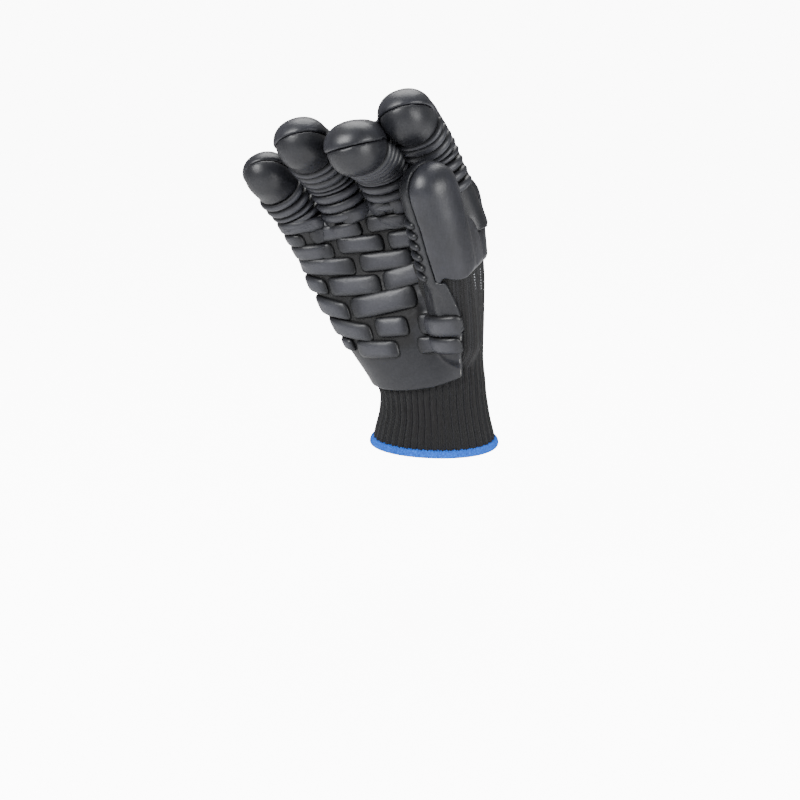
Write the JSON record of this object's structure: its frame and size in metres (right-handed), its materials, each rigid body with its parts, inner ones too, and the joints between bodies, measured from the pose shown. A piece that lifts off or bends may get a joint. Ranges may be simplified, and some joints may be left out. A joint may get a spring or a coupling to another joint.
{
  "type": "anti vibration glove",
  "caption": "Right-hand work glove, half closed as worn: knitted cuff, thick moulded rubber palm with brick pads and ribbed finger fronts, smooth coated back, to damp hand vibration.",
  "frame": {"origin": "middle of the glove's open wrist end, in the plane of the hem's edge", "axes": "+Z from the wrist opening up to the fingers, -Y is where the palm faces, +X is the thumb's side"},
  "size_m": [0.1419, 0.1183, 0.2135],
  "materials": {
    "knitted_body": "black knitted nylon with fine ribs and rows of paler stitches",
    "cuff_hem": "bright blue overlocked yarn",
    "label": "plain white woven tape",
    "moulded_palm": "soft moulded chloroprene rubber, satin, dark grey",
    "dipped_back": "thin dipped chloroprene rubber, satin, dark blue-grey"
  },
  "bodies": {
    "root": {"knitted_body": "knitted_body", "cuff_hem": "cuff_hem", "label": "label", "moulded_palm": "moulded_palm", "dipped_back": "dipped_back", "index_hood": "dipped_back", "middle_hood": "dipped_back", "ring_hood": "dipped_back", "little_hood": "dipped_back", "index_front": "moulded_palm", "middle_front": "moulded_palm", "ring_front": "moulded_palm", "little_front": "moulded_palm"}
  },
  "joints": []
}
